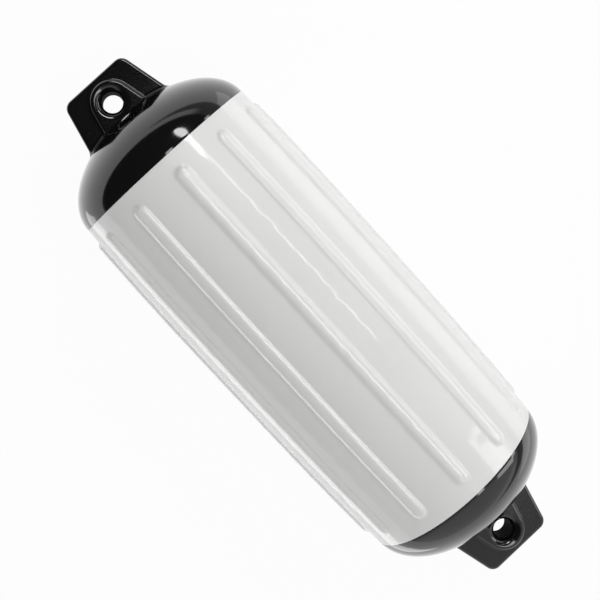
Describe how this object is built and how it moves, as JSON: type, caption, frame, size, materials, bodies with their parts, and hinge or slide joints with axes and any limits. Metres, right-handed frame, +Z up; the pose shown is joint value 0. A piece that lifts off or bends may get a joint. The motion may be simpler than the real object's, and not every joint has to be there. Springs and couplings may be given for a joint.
{
  "type": "pneumatic boat fender",
  "caption": "Inflatable ribbed boat fender with a white vinyl barrel, black domed ends and a lug with a rope eye at each end.",
  "frame": {"origin": "centre of the fender's footprint on the surface that it lies on", "axes": "+X along the fender from the upper end to the lower end, +Z up; the lugs' faces lean 15 degrees from +Z towards +Y, because the fender rests on two neighbouring ribs"},
  "size_m": [0.764, 0.254, 0.2541],
  "materials": {
    "white_vinyl": "satin moulded vinyl",
    "black_vinyl": "glossy moulded vinyl",
    "valve_rubber": "matt rubber"
  },
  "bodies": {
    "root": {"barrel": "white_vinyl", "upper_end": "black_vinyl", "lower_end": "black_vinyl", "needle_valve": "valve_rubber"}
  },
  "joints": []
}
